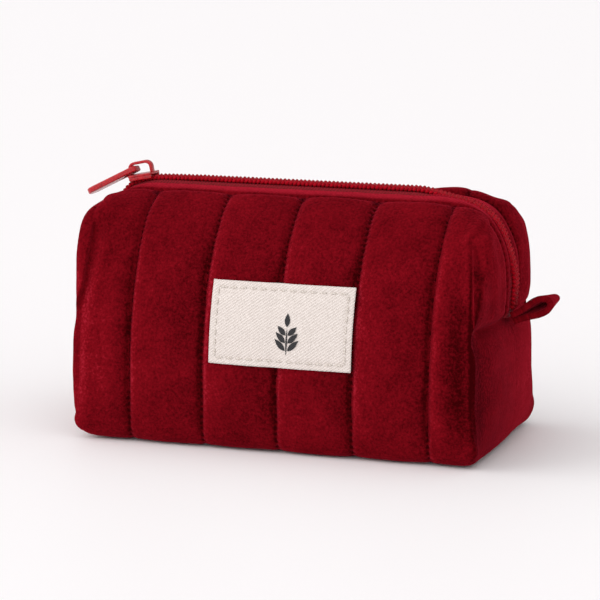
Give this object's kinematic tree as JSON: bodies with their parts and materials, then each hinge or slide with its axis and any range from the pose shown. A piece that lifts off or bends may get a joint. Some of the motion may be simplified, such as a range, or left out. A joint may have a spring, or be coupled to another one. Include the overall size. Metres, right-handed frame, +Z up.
{
  "type": "makeup bag",
  "caption": "Quilted velvet box pouch with a coil zipper over the top and down the ends, a metal slider with pull tab, a sewn cloth label and a ribbon loop.",
  "frame": {"origin": "centre of the flat base, on the surface the pouch stands on", "axes": "+X along the zipper towards the end with the ribbon loop, -Y towards the side with the label, +Z up"},
  "size_m": [0.1738, 0.0794, 0.0941],
  "materials": {
    "velvet": "short pile velvet, deep red",
    "wadding": "soft white quilting wadding",
    "lining": "smooth woven lining, dark red",
    "zipper_tape": "twill woven tape, red",
    "zipper_coil": "red nylon filament",
    "zipper_thread": "red polyester thread",
    "sewing_thread": "dark red sewing thread",
    "label_cloth": "cream cotton twill",
    "label_thread": "off-white thick thread",
    "slider_paint": "glossy red enamel over cast metal",
    "ribbon": "velvet ribbon, deep red"
  },
  "bodies": {
    "pouch": {"body_panel": "velvet", "left_end_panel": "velvet", "right_end_panel": "velvet", "wadding_lower": "wadding", "lining_lower": "lining", "quilting_thread_lower": "sewing_thread", "label": "label_cloth", "label_stitching": "label_thread"},
    "mouth_front": {"front_shoulder": "velvet", "front_left_corner": "velvet", "front_right_corner": "velvet", "front_wadding": "wadding", "front_lining": "lining", "front_tape": "zipper_tape", "front_coil": "zipper_coil", "front_coil_thread": "zipper_thread", "front_topstitch": "sewing_thread", "front_quilting_thread": "sewing_thread"},
    "mouth_back": {"back_shoulder": "velvet", "back_left_corner": "velvet", "back_right_corner": "velvet", "back_wadding": "wadding", "back_lining": "lining", "back_tape": "zipper_tape", "back_coil": "zipper_coil", "back_coil_thread": "zipper_thread", "back_topstitch": "sewing_thread", "back_quilting_thread": "sewing_thread"},
    "slider": {"slider_body": "slider_paint", "slider_bail": "slider_paint"},
    "pull": {"pull_tab": "slider_paint"},
    "loop": {"loop_ribbon": "ribbon"}
  },
  "joints": [
    {"name": "slider_travel", "type": "slide", "parent": "pouch", "child": "slider", "axis": [1, 0, 0.009], "range_m": [0, 0.1], "deforming": ["front_tape", "front_coil", "front_coil_thread", "back_tape", "back_coil", "back_coil_thread"]},
    {"name": "pull_swing", "type": "hinge", "parent": "slider", "child": "pull", "pos_m": [-0.06624, 0, 0.09069], "axis": [0, 1, 0], "range_deg": [0, 150]},
    {"name": "mouth_front_open", "type": "hinge", "parent": "pouch", "child": "mouth_front", "pos_m": [0, -0.0328, 0.06], "axis": [1, 0, 0], "range_deg": [0, 35], "deforming": ["front_tape", "front_coil", "front_coil_thread"]},
    {"name": "mouth_back_open", "type": "hinge", "parent": "pouch", "child": "mouth_back", "pos_m": [0, 0.0328, 0.06], "axis": [-1, 0, 0], "range_deg": [0, 35], "deforming": ["back_tape", "back_coil", "back_coil_thread"]},
    {"name": "loop_flex", "type": "hinge", "parent": "pouch", "child": "loop", "pos_m": [0.0749, 0, 0.046], "axis": [0, -1, 0], "range_deg": [-45, 25], "stiffness_Nm_per_rad": 0.004}
  ],
  "couplings": [
    {"joint": "mouth_front_open", "follows": "slider_travel", "rad_per_m": 6.106},
    {"joint": "mouth_back_open", "follows": "slider_travel", "rad_per_m": 6.106}
  ]
}
